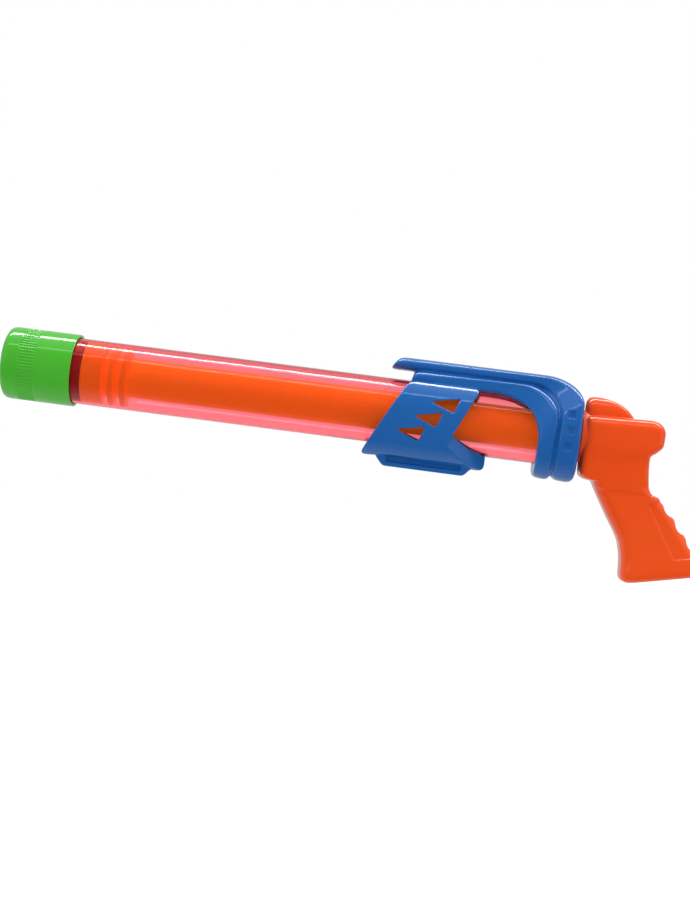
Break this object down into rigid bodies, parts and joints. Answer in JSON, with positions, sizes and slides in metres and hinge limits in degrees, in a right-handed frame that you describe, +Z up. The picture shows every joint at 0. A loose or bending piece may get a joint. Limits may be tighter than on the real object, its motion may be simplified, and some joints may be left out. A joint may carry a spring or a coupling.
{
  "type": "water squirter",
  "caption": "Syringe-type toy water squirter: clear barrel with a ribbed nozzle cap, a sliding plunger with a pistol grip, and a moulded guard with a rail and a cut-out sleeve.",
  "frame": {"origin": "under the middle of the squirter's length, on the barrel's mid-plane, level with the lowest point of the grip", "axes": "+X along the barrel from the nozzle to the handle, +Z up from the grip to the barrel, +Y across; the pictured side faces -Y"},
  "size_m": [0.5254, 0.058, 0.1406],
  "materials": {
    "clear_pink": "clear tinted gloss",
    "bush": "satin",
    "gasket": "matt",
    "cap": "gloss",
    "piston": "gloss",
    "plunger": "gloss",
    "steel": "satin",
    "guard": "gloss",
    "handle": "gloss"
  },
  "bodies": {
    "barrel": {"barrel_tube": "clear_pink", "guide_bush": "bush", "guard_left": "guard", "guard_right": "guard", "guard_screw_1": "steel", "guard_screw_2": "steel", "guard_screw_3": "steel", "guard_screw_4": "steel", "guard_screw_5": "steel"},
    "cap_seat": {"cap_gasket": "gasket"},
    "cap": {"nozzle_cap": "cap"},
    "piston": {"piston_head": "piston"},
    "plunger": {"plunger_tube": "plunger", "cross_pin": "steel", "handle_left": "handle", "handle_right": "handle", "handle_screw_1": "steel", "handle_screw_2": "steel", "handle_screw_3": "steel", "handle_screw_4": "steel"}
  },
  "joints": [
    {"name": "plunger_slide", "type": "slide", "parent": "barrel", "child": "piston", "axis": [1, 0, 0], "range_m": [0, 0.303]},
    {"name": "plunger_swivel", "type": "hinge", "parent": "piston", "child": "plunger", "pos_m": [0, 0, 0.1004], "axis": [1, 0, 0], "continuous": true},
    {"name": "cap_slide", "type": "slide", "parent": "barrel", "child": "cap_seat", "axis": [-1, 0, 0], "range_m": [0, 0.0046]},
    {"name": "cap_turn", "type": "hinge", "parent": "cap_seat", "child": "cap", "pos_m": [-0.24274, 0, 0.1004], "axis": [-1, 0, 0], "range_deg": [0, 540]}
  ],
  "couplings": [
    {"joint": "cap_slide", "follows": "cap_turn", "m_per_rad": 0.00047746}
  ]
}
